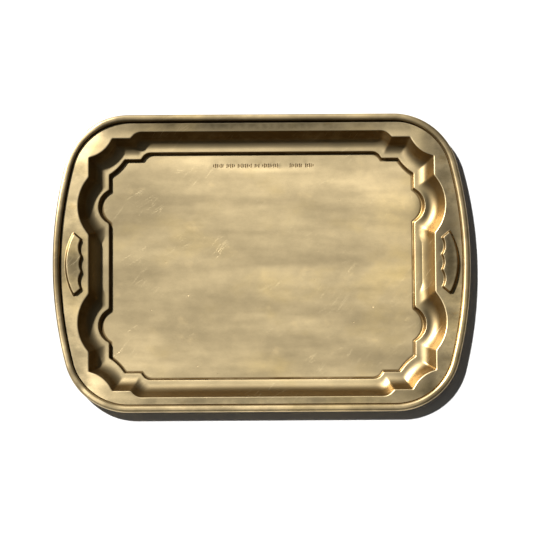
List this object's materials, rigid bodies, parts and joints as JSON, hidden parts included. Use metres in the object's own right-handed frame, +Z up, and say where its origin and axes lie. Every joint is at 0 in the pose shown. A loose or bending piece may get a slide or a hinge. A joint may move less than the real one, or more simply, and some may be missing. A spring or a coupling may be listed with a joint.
{
  "type": "tray",
  "caption": "Shallow rectangular brass tray with bowed short sides, a stepped scalloped well, raised scalloped grip pads and a rolled rim on an edge wire.",
  "frame": {"origin": "on the surface that the tray stands on, under the middle of the floor", "axes": "+X along the tray's longer side, +Y along its shorter side, +Z up out of the well"},
  "size_m": [0.23, 0.1654, 0.0124],
  "materials": {
    "tray_brass": "satin, worn and lightly tarnished, darker in the grooves",
    "rim_wire_steel": "plain drawn wire"
  },
  "bodies": {
    "root": {"tray_body": "tray_brass", "rim_wire": "rim_wire_steel"}
  },
  "joints": []
}
